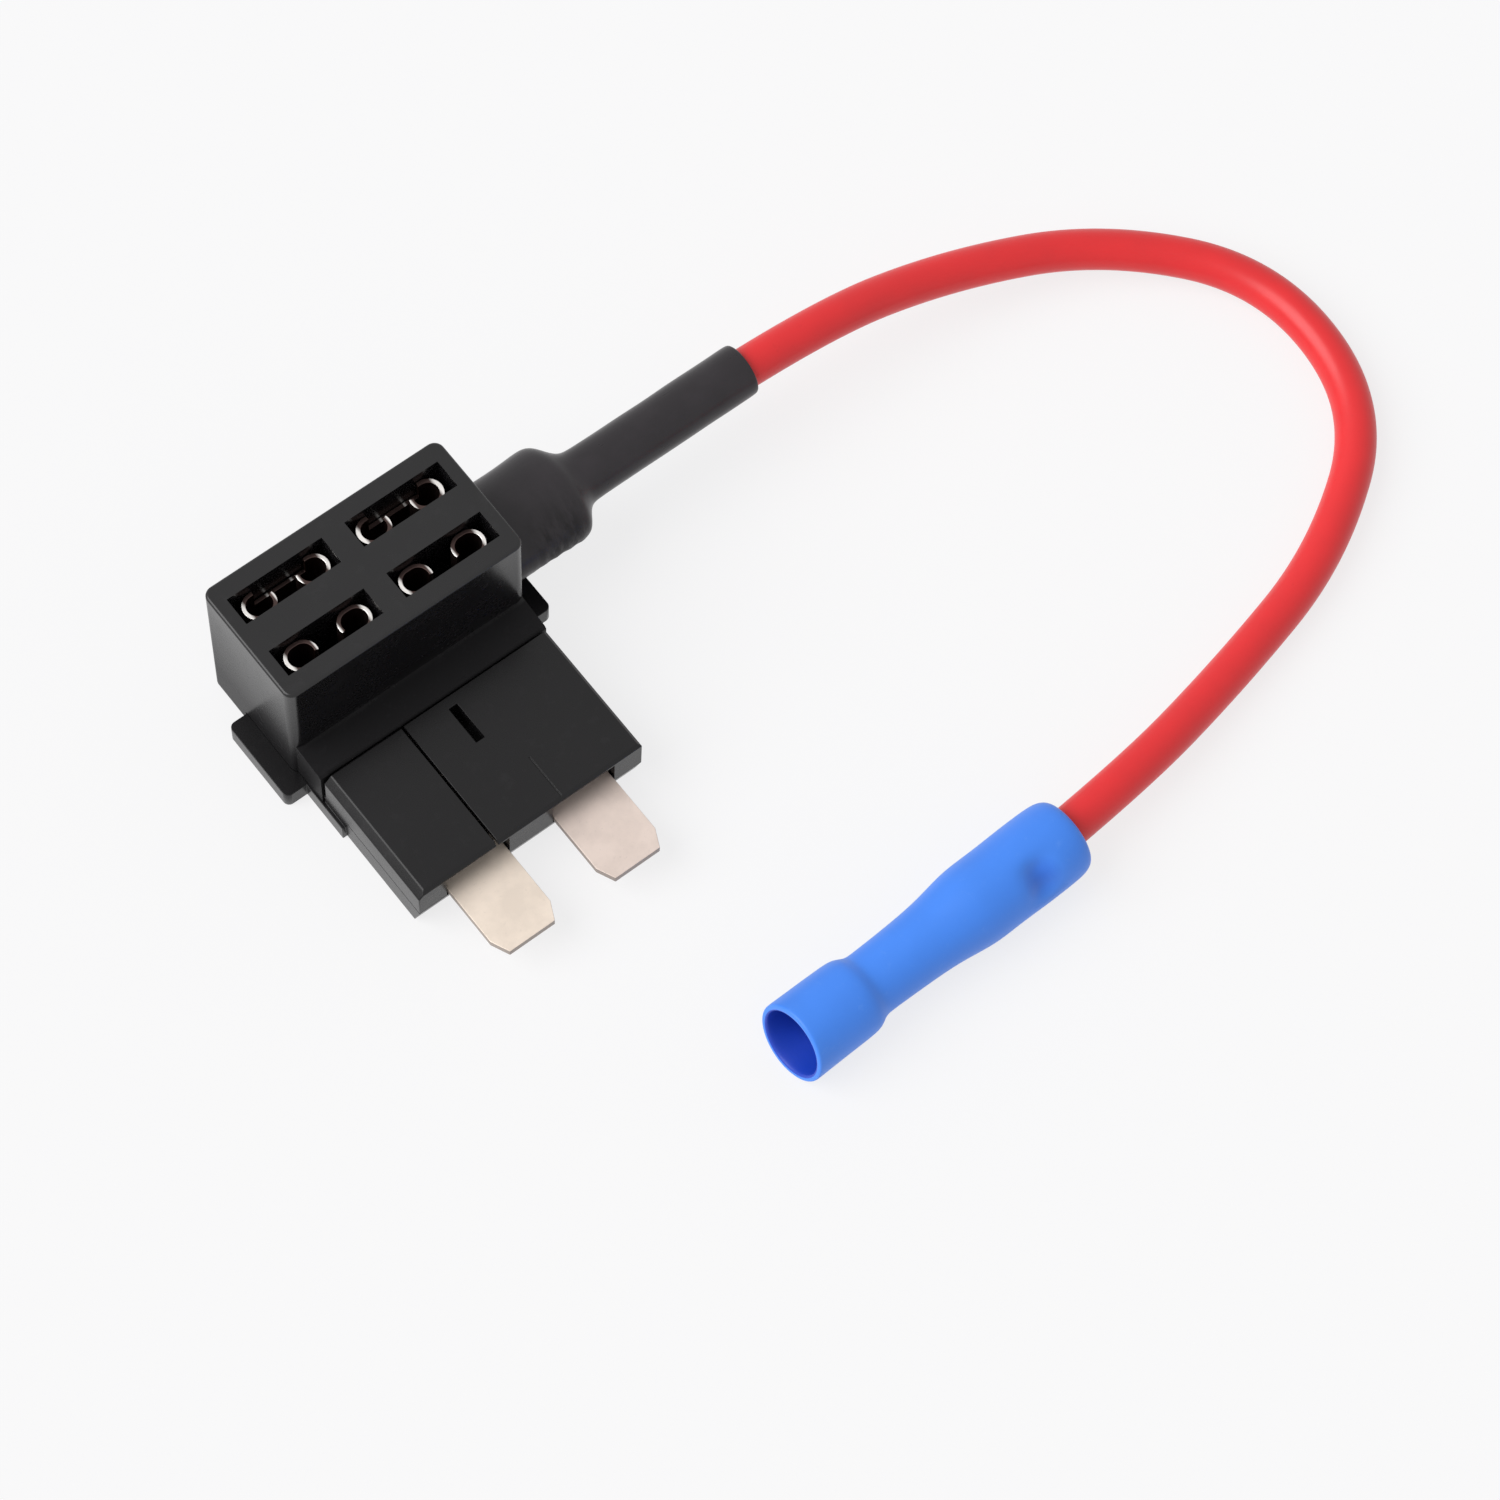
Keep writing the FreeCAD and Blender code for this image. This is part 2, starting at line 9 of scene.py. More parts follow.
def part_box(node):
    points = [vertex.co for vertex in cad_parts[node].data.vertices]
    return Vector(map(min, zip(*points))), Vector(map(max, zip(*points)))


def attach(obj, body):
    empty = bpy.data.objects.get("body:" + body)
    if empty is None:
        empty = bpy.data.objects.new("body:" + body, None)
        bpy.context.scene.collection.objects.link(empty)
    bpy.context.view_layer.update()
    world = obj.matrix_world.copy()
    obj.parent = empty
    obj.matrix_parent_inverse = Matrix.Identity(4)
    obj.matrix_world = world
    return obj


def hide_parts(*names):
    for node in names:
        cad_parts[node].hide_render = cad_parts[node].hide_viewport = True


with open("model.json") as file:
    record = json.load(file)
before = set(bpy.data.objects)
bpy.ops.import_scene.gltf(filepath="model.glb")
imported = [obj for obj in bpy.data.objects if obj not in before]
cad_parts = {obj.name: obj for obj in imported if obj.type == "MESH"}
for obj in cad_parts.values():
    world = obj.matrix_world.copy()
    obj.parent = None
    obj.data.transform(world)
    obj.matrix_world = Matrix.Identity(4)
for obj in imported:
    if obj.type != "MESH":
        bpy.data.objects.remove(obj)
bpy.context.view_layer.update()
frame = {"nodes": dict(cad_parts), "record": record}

bl_info = {
    "name": "Blade Fuse Tap",
    "version": (1, 0, 0),
    "blender": (4, 5, 0),
    "location": "3D View > Sidebar > Fuse Tap",
    "description": "Dresses a blade fuse tap: plastic body, tinned blades, shrink sleeve, wire and splice",
    "category": "Object",
}

MM = 0.001

# The wire's route in millimetres, from inside the sleeve's neck into the splice
WIRE_ROUTE = [
    (27.5, 2.55, 6.4),
    (39.6, 2.55, 6.4),
    (51.7, 1.1, 4.0),
    (63.1, -3.3, 2.5),
    (71.8, -12.7, 1.6),
    (70.5, -25.7, 1.6),
    (60.0, -33.1, 1.6),
    (48.2, -36.2, 1.8),
    (35.7, -38.75, 3.15),
    (23.58, -39.46, 3.15),
]
MOUTH_SCALE = 100.0  # brings metres of the splice's mouth into a colour ramp's range
SOCKET_MIDDLE = 4.9 * MM  # from the part's middle plane to a spring socket's middle
CURL_MIDDLE = 2.265 * MM  # from a spring socket's middle to a curl's middle
CURL_SCALE = 350.0  # brings metres of a curl into a colour ramp's range
FOOT_SCALE = 70.0  # brings metres of the head's height into a colour ramp's range
SPLICE_DENT = (25.8 * MM, -41.6 * MM, 5.2 * MM)  # where the crimping tool pressed the splice; painted shade darkens round it
DENT_SCALE = 400.0  # brings metres round the dent into a colour ramp's range
SLEEVE_SCALE = 40.0  # brings metres along the sleeve into a colour ramp's range
FRONT_SCALE = 100.0  # brings metres across the sleeve into a colour ramp's range

# How far each metal's streaks are drawn out, as a noise scale along X, Y and Z
BLADE_STREAKS = (6000, 260, 6000)
SOCKET_STREAKS = (5000, 5000, 300)
BARREL_STREAKS = (300, 5000, 5000)

BLADE_SIDE_SHADE = (0.27, 0.23, 0.21)  # painted shade on the blades' upright sides
CURL_SHADOW = (0.045, 0.022, 0.019)  # the spring sockets' walls, deep in the head
SCUFF_COLOUR = (0.20, 0.42, 0.95)  # faint tool scuffs on the splice


def mount(name):
    """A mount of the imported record, by its name."""
    return next(m for m in frame["record"]["mounts"] if m["name"] == name)


class StageSettings(bpy.types.PropertyGroup):
    """Camera, floor and light."""

    camera_place: FloatVectorProperty(
        name="Camera place", description="Where the camera stands", subtype="TRANSLATION",
        unit="LENGTH", precision=5, default=(-0.084684, -0.131592, 0.323403),
    )
    azimuth: FloatProperty(
        name="Azimuth", description="Way round the part; 0 looks along +Y", subtype="ANGLE",
        default=math.radians(-42.308),
    )
    elevation: FloatProperty(
        name="Elevation", description="Height of the view above the floor", subtype="ANGLE",
        default=math.radians(64.919),
    )
    roll: FloatProperty(
        name="Roll", description="Turn of the camera about its own line of sight", subtype="ANGLE",
        default=math.radians(4.833),
    )
    lens: FloatProperty(name="Lens", description="Focal length on a 36 mm wide sensor", default=120.0)
    floor_size: FloatProperty(
        name="Floor size", description="Side of the square floor", unit="LENGTH", default=4.0,
    )
    floor_tone: FloatVectorProperty(
        name="Floor tone", description="Colour of the pale floor", subtype="COLOR",
        default=(0.955, 0.953, 0.958),
    )
    shadow_fade: FloatProperty(
        name="Shadow fade", description="How far the floor's shadow is lightened", default=0.82,
    )
    sky_strength: FloatProperty(
        name="Sky", description="Strength of the even light all round", default=0.44,
    )
    lamp_strength: FloatProperty(name="Lamp", description="Strength of the soft lamp", default=2.3)
    lamp_width: FloatProperty(
        name="Lamp width", description="How wide the soft lamp looks from the part", subtype="ANGLE",
        default=math.radians(50.0),
    )
    lamp_side: FloatVectorProperty(
        name="Lamp side", description="Way from the part to the lamp", subtype="DIRECTION",
        default=(-0.68, 0.3, 0.75),
    )


class HousingSettings(bpy.types.PropertyGroup):
    """The black moulded body."""

    edge_round: FloatProperty(
        name="Edge rounding", description="Width of the softened edges", unit="LENGTH",
        precision=5, default=0.10 * MM,
    )
    colour: FloatVectorProperty(
        name="Plastic", description="Colour of the moulded plastic", subtype="COLOR",
        default=(0.0062, 0.0058, 0.0065),
    )
    head_gloss: FloatProperty(
        name="Head gloss", description="How strongly the head reflects", default=0.42,
    )
    plug_gloss: FloatProperty(
        name="Plug gloss", description="How strongly the plug reflects", default=0.28,
    )
    roughness: FloatProperty(
        name="Roughness", description="Softness of the plastic's shine", default=0.27,
    )


class MetalSettings(bpy.types.PropertyGroup):
    """Blades, spring sockets and barrel."""

    feed_colour: FloatVectorProperty(
        name="Feed blade", description="Colour of the left blade", subtype="COLOR",
        default=(0.90, 0.775, 0.66),
    )
    return_colour: FloatVectorProperty(
        name="Return blade", description="Colour of the right blade", subtype="COLOR",
        default=(0.80, 0.67, 0.60),
    )
    contact_colour: FloatVectorProperty(
        name="Socket metal", description="Colour of the spring sockets", subtype="COLOR",
        default=(0.90, 0.87, 0.84),
    )
    edge_round: FloatProperty(
        name="Edge rounding", description="Width of the softened stamped edges", unit="LENGTH",
        precision=5, default=0.05 * MM,
    )


class SleeveSettings(bpy.types.PropertyGroup):
    """The shrink sleeve."""

    colour: FloatVectorProperty(
        name="Sleeve", description="Colour of the shrink sleeve", subtype="COLOR",
        default=(0.026, 0.022, 0.0255),
    )
    segments: IntProperty(name="Segments", description="Points round the sleeve", default=64)
    ripple: FloatProperty(
        name="Ripple", description="Height of the shrink wrinkles", unit="LENGTH",
        precision=5, default=0.05 * MM,
    )


class WireSettings(bpy.types.PropertyGroup):
    """The red wire."""

    diameter: FloatProperty(
        name="Diameter", description="Outer diameter of the insulation", unit="LENGTH",
        precision=5, default=3.1 * MM,
    )
    colour: FloatVectorProperty(
        name="Insulation", description="Colour of the insulation", subtype="COLOR",
        default=(0.78, 0.024, 0.028),
    )


class SpliceSettings(bpy.types.PropertyGroup):
    """The blue crimp splice."""

    colour: FloatVectorProperty(
        name="Splice", description="Colour of the splice's sleeve", subtype="COLOR",
        default=(0.060, 0.258, 0.93),
    )
    # Painted shade deep in the bore.
    bore_shade: FloatVectorProperty(
        name="Bore", description="Colour deep in the splice's bore", subtype="COLOR",
        default=(0.011, 0.055, 0.50),
    )
    # Painted shade in the tool's dent.
    dent_shade: FloatVectorProperty(
        name="Dent", description="Colour where the tool pressed", subtype="COLOR",
        default=(0.018, 0.115, 0.62),
    )
    segments: IntProperty(name="Segments", description="Points round the splice", default=64)
    mouth_slant: FloatProperty(
        name="Mouth slant", description="Slant of the cut across the mouth", subtype="ANGLE",
        default=math.radians(11.5),
    )
    dent_depth: FloatProperty(
        name="Dent depth", description="Depth of the crimping tool's dent", unit="LENGTH",
        precision=5, default=0.65 * MM,
    )


class Value:
    """A shader value that ordinary arithmetic works on; each operation adds its node."""

    def __init__(self, recipe, socket):
        self.recipe = recipe
        self.socket = socket

    def math(self, operation, first, second=0.0):
        """Add a Math node."""
        return self.recipe.add("ShaderNodeMath", {"operation": operation}, {0: first, 1: second})

    def __add__(self, other):
        return self.math("ADD", self, other)

    def __radd__(self, other):
        return self.math("ADD", other, self)

    def __sub__(self, other):
        return self.math("SUBTRACT", self, other)

    def __rsub__(self, other):
        return self.math("SUBTRACT", other, self)

    def __mul__(self, other):
        return self.math("MULTIPLY", self, other)

    def __rmul__(self, other):
        return self.math("MULTIPLY", other, self)

    def __abs__(self):
        return self.math("ABSOLUTE", self)


class Recipe:
    """Nodes of one material or of the world, added one by one."""

    def __init__(self, tree):
        self.tree = tree
        tree.nodes.clear()

    def add(self, kind, settings=None, inputs=None, output=0):
        """Add a node: settings first, then the values or links of its sockets."""
        node = self.tree.nodes.new(kind)
        for name, value in (settings or {}).items():
            if name == "stops":
                self.set_stops(node.color_ramp, value)
            else:
                setattr(node, name, value)
        for name, value in (inputs or {}).items():
            if isinstance(value, Value):
                self.tree.links.new(value.socket, node.inputs[name])
            else:
                node.inputs[name].default_value = value
        return Value(self, node.outputs[output]) if node.outputs else None

    def set_stops(self, ramp, stops):
        """Fill a colour ramp with (position, grey or colour) stops."""
        while len(ramp.elements) < len(stops):
            ramp.elements.new(0.5)
        for element, (position, tone) in zip(ramp.elements, stops):
            element.position = position
            element.color = (tone, tone, tone, 1) if isinstance(tone, (int, float)) else (*tone, 1)

    def seen(self):
        """1 where the camera sees a surface straight, in a reflection or through glass."""
        rays = ("Is Camera Ray", "Is Glossy Ray", "Is Transmission Ray")
        straight, mirrored, through = (self.add("ShaderNodeLightPath", output=ray) for ray in rays)
        return straight + mirrored + through

    def place(self):
        """The point on the piece, in metres."""
        return self.add("ShaderNodeTexCoord", output="Object")

    def part(self, vector, axis):
        """One of a vector's three numbers: 0 is X, 1 is Y and 2 is Z."""
        return self.add("ShaderNodeSeparateXYZ", None, {0: vector}, axis)

    def vector_math(self, operation, first, second=(0, 0, 0), output=0):
        """Arithmetic on vectors; output 1 gives the operations that end in one number."""
        return self.add("ShaderNodeVectorMath", {"operation": operation}, {0: first, 1: second}, output)

    def stretched(self, vector, x, y, z):
        """The point with each direction scaled by its own factor."""
        return self.vector_math("MULTIPLY", vector, (x, y, z))

    def noise(self, vector, scale, detail=2.0, roughness=0.5):
        """Soft random tone from 0 to 1."""
        inputs = {"Vector": vector, "Scale": scale, "Detail": detail, "Roughness": roughness}
        return self.add("ShaderNodeTexNoise", {"normalize": True}, inputs)

    def ramp(self, value, *stops):
        """Grey curve through (position, tone) stops."""
        return self.add("ShaderNodeValToRGB", {"stops": stops}, {"Fac": value})

    def blend(self, factor, first, second):
        """Mix of two colours."""
        sides = [c if isinstance(c, Value) else (*c, 1) for c in (first, second)]
        settings = {"data_type": "RGBA", "blend_type": "MIX"}
        return self.add("ShaderNodeMix", settings, {0: factor, 6: sides[0], 7: sides[1]}, output=2)

    def bump(self, height, distance, strength=1.0, under=None):
        """Surface relief of the given height in metres."""
        inputs = {"Height": height, "Distance": distance, "Strength": strength}
        if under is not None:
            inputs["Normal"] = under
        return self.add("ShaderNodeBump", None, inputs)

    def principled(self, **inputs):
        """Principled shader; underscores in names stand for spaces."""
        named = {name.replace("_", " "): value for name, value in inputs.items()}
        return self.add("ShaderNodeBsdfPrincipled", None, named)

    def mixed(self, factor, first, second):
        """Mix of two shaders."""
        return self.add("ShaderNodeMixShader", None, {0: factor, 1: first, 2: second})

    def finish(self, shader):
        """Join the shader to the material's output."""
        self.add("ShaderNodeOutputMaterial", None, {"Surface": shader})

    def surface(self, **inputs):
        """Principled shader joined to the output."""
        self.finish(self.principled(**inputs))


def new_material(name):
    """An empty material and the recipe that fills it."""
    material = bpy.data.materials.new(name)
    material.use_nodes = True
    return material, Recipe(material.node_tree)


def scaled(colour, factor):
    """A colour made darker or lighter."""
    return tuple(min(1.0, channel * factor) for channel in colour)


def moulded_plastic(name, look, gloss, dull_foot=False):
    """Black moulded plastic with a fine eroded grain, faint handling marks and, at will, a duller foot."""
    material, recipe = new_material(name)
    place = recipe.place()
    patches = recipe.noise(place, 140, 3)
    grain = recipe.noise(place, 4200, 3, 0.6)
    rub = recipe.ramp(recipe.noise(place, 900, 4, 0.65), (0.56, 0.0), (0.72, 1.0))
    tone = recipe.blend(patches, scaled(look.colour, 0.75), scaled(look.colour, 1.3))
    tone = recipe.blend(rub * 0.35, tone, scaled(look.colour, 2.6))
    roughness = look.roughness + (patches - 0.5) * 0.10 + (grain - 0.5) * 0.05 + rub * 0.04
    relief = recipe.bump(grain, 0.006 * MM, 0.3)
    shader = recipe.principled(
        Base_Color=tone, Roughness=roughness, Specular_IOR_Level=gloss, Normal=relief,
    )
    if dull_foot:
        dull = recipe.principled(
            Base_Color=tone, Roughness=0.55, Specular_IOR_Level=gloss * 0.3, Normal=relief,
        )
        height = recipe.part(place, 2) * FOOT_SCALE
        depth = recipe.part(place, 1) * FOOT_SCALE
        low = recipe.ramp(height, (0.42, 0.95), (0.46, 0.0))
        ledge = low * recipe.ramp(depth + 0.5, (0.30, 1.0), (0.33, 0.0))
        walls = recipe.ramp(height, (0.25, 0.7), (0.95, 0.0))
        shader = recipe.mixed(walls.math("MAXIMUM", walls, ledge), shader, dull)
    recipe.finish(shader)
    return material


def tinned_strip(name, colour, along, side_shade_colour, side_shade_share, metallic=1.0, softness=0.30,
                 curl_shade=0.0):
    """Rolled and tinned strip: fine streaks along it, soft stains, and painted shade on its upright sides
    and, at will, on its curls.
    """
    material, recipe = new_material(name)
    place = recipe.place()
    streaks = recipe.noise(recipe.stretched(place, *along), 1.0, 3, 0.6)
    stains = recipe.noise(place, 420, 4, 0.6)
    pits = recipe.ramp(recipe.noise(place, 3600, 3, 0.7), (0.62, 0.0), (0.70, 1.0))
    upward = recipe.part(recipe.add("ShaderNodeNewGeometry", output=1), 2)
    upright = recipe.ramp(abs(upward), (0.35, 1.0), (0.75, 0.0))
    tone = recipe.blend(recipe.ramp(stains, (0.40, 0.0), (0.66, 1.0)), colour, scaled(colour, 0.88))
    tone = recipe.blend(pits * 0.25, tone, scaled(colour, 0.66))
    # Painted shade: faces that stand upright take the darker side colour.
    tone = recipe.blend(upright * side_shade_share, tone, side_shade_colour)
    if curl_shade:
        # Painted shade on most of each curl, set by its distance across the socket; narrow bands stay
        # bright.
        from_curl = abs(abs(recipe.part(place, 0)) - SOCKET_MIDDLE) - CURL_MIDDLE
        curl_shading = recipe.ramp(
            from_curl * CURL_SCALE + 0.5,
            (0.02, 1.0), (0.045, 0.1), (0.075, 0.1), (0.12, 1.0), (0.78, 1.0), (0.86, 0.0),
        )
        tone = recipe.blend(curl_shading * curl_shade, tone, side_shade_colour)
    roughness = softness + (streaks - 0.5) * 0.20 + stains * 0.10 + upright * 0.10
    relief = recipe.bump(streaks, 0.004 * MM, 0.6)
    recipe.surface(
        Base_Color=tone, Metallic=metallic, Roughness=roughness,
        Normal=recipe.bump(stains, 0.02 * MM, 0.3, relief),
    )
    return material


def shrunk_sleeve(name, look):
    """Shrink tubing: satin black with faint drawn lines, a cloudy bloom and crumpling over the crimp, whose
    front side is darkened with painted shade.
    """
    material, recipe = new_material(name)
    place = recipe.place()
    drawn = recipe.noise(recipe.stretched(place, 90, 2600, 2600), 1.0, 3, 0.6)
    cloud = recipe.noise(place, 260, 4, 0.6)
    grain = recipe.noise(place, 3800, 2, 0.6)
    bloom = recipe.ramp(cloud, (0.45, 0.0), (0.75, 1.0))
    tone = recipe.blend(bloom * 0.4, scaled(look.colour, 0.85), scaled(look.colour, 1.7))
    along = recipe.part(place, 0) * SLEEVE_SCALE
    across = recipe.part(place, 1) * FRONT_SCALE + 0.5
    # Painted shade: a dark area on the front side over the crimp, broken up by the crumpling, which also
    # roughens and bumps it.
    over_crimp = recipe.ramp(along, (0.45, 0.0), (0.53, 1.0), (0.63, 1.0), (0.69, 0.0))
    in_front = recipe.ramp(across, (0.42, 1.0), (0.66, 0.0))
    crumple = recipe.noise(recipe.stretched(place, 1500, 600, 600), 1.0, 3, 0.6)
    patch = over_crimp * in_front * recipe.ramp(crumple, (0.38, 0.15), (0.58, 1.0))
    tone = recipe.blend(patch * 0.9, tone, scaled(look.colour, 0.2))
    roughness = 0.30 + (cloud - 0.5) * 0.16 + (drawn - 0.5) * 0.08 + patch * 0.25
    relief = recipe.bump(drawn, 0.012 * MM, 0.6, recipe.bump(patch, 0.05 * MM, 0.5))
    recipe.surface(
        Base_Color=tone, Roughness=roughness, Specular_IOR_Level=0.3,
        Normal=recipe.bump(grain, 0.008 * MM, 0.5, relief),
    )
    return material


def soft_insulation(name, look):
    """Soft coloured insulation: even colour, satin shine and a slightly wavy skin."""
    material, recipe = new_material(name)
    place = recipe.place()
    cloud = recipe.noise(place, 220, 3, 0.55)
    grain = recipe.noise(place, 2600, 3, 0.6)
    tone = recipe.blend(cloud, scaled(look.colour, 0.88), scaled(look.colour, 1.10))
    grime = recipe.ramp(recipe.noise(place, 1400, 3, 0.6), (0.64, 0.0), (0.76, 1.0))
    tone = recipe.blend(grime * 0.10, tone, scaled(look.colour, 0.55))
    roughness = 0.36 + (cloud - 0.5) * 0.14 + (grain - 0.5) * 0.08
    relief = recipe.bump(cloud, 0.05 * MM, 0.4)
    recipe.surface(
        Base_Color=tone, Roughness=roughness, Specular_IOR_Level=0.45,
        Normal=recipe.bump(grain, 0.010 * MM, 0.5, relief),
    )
    return material


def splice_plastic(name, look, bore):
    """Blue splice sleeve: semi-matt, slightly cloudy, with faint tool scuffs, and painted shade deep in the
    bore and in the tool's dent.
    """
    material, recipe = new_material(name)
    place = recipe.place()
    cloud = recipe.noise(place, 190, 3, 0.55)
    grain = recipe.noise(place, 3000, 3, 0.6)
    scuff = recipe.ramp(recipe.noise(place, 1100, 4, 0.7), (0.60, 0.0), (0.72, 1.0))
    tone = recipe.blend(cloud, scaled(look.colour, 0.9), scaled(look.colour, 1.08))
    tone = recipe.blend(scuff * 0.12, tone, SCUFF_COLOUR)
    offset = recipe.vector_math("SUBTRACT", place, bore["pos_m"])
    across = recipe.vector_math("CROSS_PRODUCT", offset, bore["axis"])
    radius = recipe.vector_math("LENGTH", across, output=1)
    along = recipe.vector_math("DOT_PRODUCT", offset, bore["axis"], output=1)
    # Painted shade: the inner wall of the bore takes the darker bore colour.
    in_mouth = recipe.ramp(along * MOUTH_SCALE, (0.37, 0.0), (0.45, 1.0))
    inside = recipe.ramp(radius * MOUTH_SCALE - in_mouth * 0.032, (0.236, 1.0), (0.242, 0.0))
    tone = recipe.blend(inside, tone, look.bore_shade)
    # Painted shade round the tool's dent.
    distance = recipe.vector_math("DISTANCE", place, SPLICE_DENT, output=1)
    pressed = recipe.ramp(distance * DENT_SCALE, (0.12, 0.7), (0.66, 0.0))
    tone = recipe.blend(pressed, tone, look.dent_shade)
    roughness = 0.42 + (cloud - 0.5) * 0.14 + scuff * 0.10
    relief = recipe.bump(cloud, 0.06 * MM, 0.4)
    recipe.surface(
        Base_Color=tone, Roughness=roughness, Specular_IOR_Level=0.42,
        Normal=recipe.bump(grain, 0.010 * MM, 0.5, relief),
    )
    return material


def paint(piece, material):
    """Give a piece its one material."""
    piece.data.materials.clear()
    piece.data.materials.append(material)


def select_only(piece):
    """Leave one piece selected and active."""
    bpy.ops.object.select_all(action="DESELECT")
    piece.select_set(True)
    bpy.context.view_layer.objects.active = piece


def apply_modifiers(piece):
    """Apply a piece's modifiers in their order."""
    select_only(piece)
    for modifier in list(piece.modifiers):
        bpy.ops.object.modifier_apply(modifier=modifier.name)


def softened_copy(node, name, edge_round, smooth=35.0):
    """A copy of a solid whose sharp edges are rounded, standing for that node."""
    source = frame["nodes"][node]
    piece = bpy.data.objects.new(name, source.data.copy())
    bpy.context.scene.collection.objects.link(piece)
    select_only(piece)
    bpy.ops.object.mode_set(mode="EDIT")
    bpy.ops.mesh.select_all(action="SELECT")
    bpy.ops.mesh.customdata_custom_splitnormals_clear()
    bpy.ops.mesh.remove_doubles(threshold=0.001 * MM)
    bpy.ops.mesh.dissolve_limited(angle_limit=math.radians(0.5))
    bpy.ops.object.mode_set(mode="OBJECT")
    bevel = piece.modifiers.new("Softened edges", "BEVEL")
    bevel.width = edge_round
    bevel.segments = 3
    bevel.limit_method = "ANGLE"
    bevel.angle_limit = math.radians(smooth)
    bevel.use_clamp_overlap = True
    apply_modifiers(piece)
    bpy.ops.object.shade_smooth()
    weighted = piece.modifiers.new("Flat faces stay flat", "WEIGHTED_NORMAL")
    weighted.weight = 90
    apply_modifiers(piece)
    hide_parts(node)
    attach(piece, "root")
    return piece


def extruded_tube(name, stations, segments, centre):
    """A tube along X, extruded ring by ring through (x, half depth, half height) in millimetres."""
    bpy.ops.object.select_all(action="DESELECT")
    x, depth, height = stations[0]
    middle = Vector((x * MM, centre[1], centre[2]))
    bpy.ops.mesh.primitive_circle_add(
        vertices=segments, radius=MM, fill_type="NOTHING", location=middle, rotation=(0, math.pi / 2, 0)
    )
    piece = bpy.context.object
    piece.name = name
    bpy.ops.object.transform_apply(location=True, rotation=True, scale=True)
    bpy.ops.object.mode_set(mode="EDIT")
    bpy.ops.mesh.select_all(action="SELECT")
    bpy.ops.transform.resize(value=(1, depth, height), center_override=middle)
    for (x0, depth0, height0), (x1, depth1, height1) in zip(stations, stations[1:]):
        step = {"value": ((x1 - x0) * MM, 0, 0)}
        bpy.ops.mesh.extrude_region_move(TRANSFORM_OT_translate=step)
        middle = Vector((x1 * MM, centre[1], centre[2]))
        bpy.ops.transform.resize(value=(1, depth1 / depth0, height1 / height0), center_override=middle)
    bpy.ops.mesh.select_all(action="DESELECT")
    bpy.ops.mesh.select_mode(type="EDGE")
    bpy.ops.mesh.select_non_manifold()
    bpy.ops.mesh.bridge_edge_loops()
    bpy.ops.mesh.select_mode(type="VERT")
    bpy.ops.mesh.select_all(action="SELECT")
    bpy.ops.mesh.normals_make_consistent(inside=False)
    bpy.ops.object.mode_set(mode="OBJECT")
    return piece


def subdivide_smooth(piece, levels):
    """Round a cage with an applied subdivision surface."""
    modifier = piece.modifiers.new("Rounding", "SUBSURF")
    modifier.levels = levels
    modifier.render_levels = levels
    apply_modifiers(piece)
    bpy.ops.object.shade_smooth()


def bell(value, middle, width):
    """A smooth hill from 0 to 1 about its middle."""
    return math.exp(-(((value - middle) / width) ** 2))


class FUSETAP_OT_stage(bpy.types.Operator):
    """Add the camera, the pale floor, the white sky and the soft lamp"""

    bl_idname = "fusetap.stage"
    bl_label = "Stage"

    def execute(self, context):
        look = context.scene.fusetap_stage
        self.add_camera(context, look)
        self.add_floor(look)
        self.add_sky(context, look)
        context.scene.view_settings.view_transform = "Standard"
        return {"FINISHED"}

    def add_camera(self, context, look):
        data = bpy.data.cameras.new("Camera")
        data.sensor_width = 36.0
        data.lens = look.lens
        data.clip_start = 0.01
        camera = bpy.data.objects.new("Camera", data)
        context.scene.collection.objects.link(camera)
        level = math.cos(look.elevation)
        back = Vector((
            math.sin(look.azimuth) * level, -math.cos(look.azimuth) * level, math.sin(look.elevation)
        ))
        camera.rotation_mode = "QUATERNION"
        camera.rotation_quaternion = (-back).to_track_quat("-Z", "Y") @ Quaternion((0, 0, 1), look.roll)
        camera.location = look.camera_place
        context.scene.camera = camera

    def add_floor(self, look):
        bpy.ops.object.select_all(action="DESELECT")
        bpy.ops.mesh.primitive_plane_add(size=look.floor_size, location=(0, 0, 0))
        floor = bpy.context.object
        floor.name = "floor"
        material, recipe = new_material("pale_floor")
        tone = (*look.floor_tone, 1)
        card = recipe.principled(Base_Color=tone, Roughness=0.9, Specular_IOR_Level=0.0)
        glow = recipe.add("ShaderNodeEmission", None, {"Color": tone, "Strength": 1.0})
        recipe.finish(recipe.mixed(recipe.seen() * look.shadow_fade, card, glow))
        paint(floor, material)

    def add_sky(self, context, look):
        """White to the camera and in reflections, dimmer as light, with one soft lamp."""
        world = bpy.data.worlds.new("studio")
        world.use_nodes = True
        context.scene.world = world
        recipe = Recipe(world.node_tree)
        light = recipe.add("ShaderNodeBackground", None, {0: (1, 1, 1, 1), 1: look.sky_strength})
        plain = recipe.add("ShaderNodeBackground", None, {0: (1, 1, 1, 1), 1: 1.0})
        both = recipe.mixed(recipe.seen(), light, plain)
        recipe.add("ShaderNodeOutputWorld", None, {"Surface": both})
        lamp_data = bpy.data.lights.new("soft_lamp", "SUN")
        lamp_data.energy = look.lamp_strength
        lamp_data.angle = look.lamp_width
        lamp = bpy.data.objects.new("soft_lamp", lamp_data)
        lamp.rotation_mode = "QUATERNION"
        lamp.rotation_quaternion = Vector(look.lamp_side).to_track_quat("Z", "Y")
        context.scene.collection.objects.link(lamp)


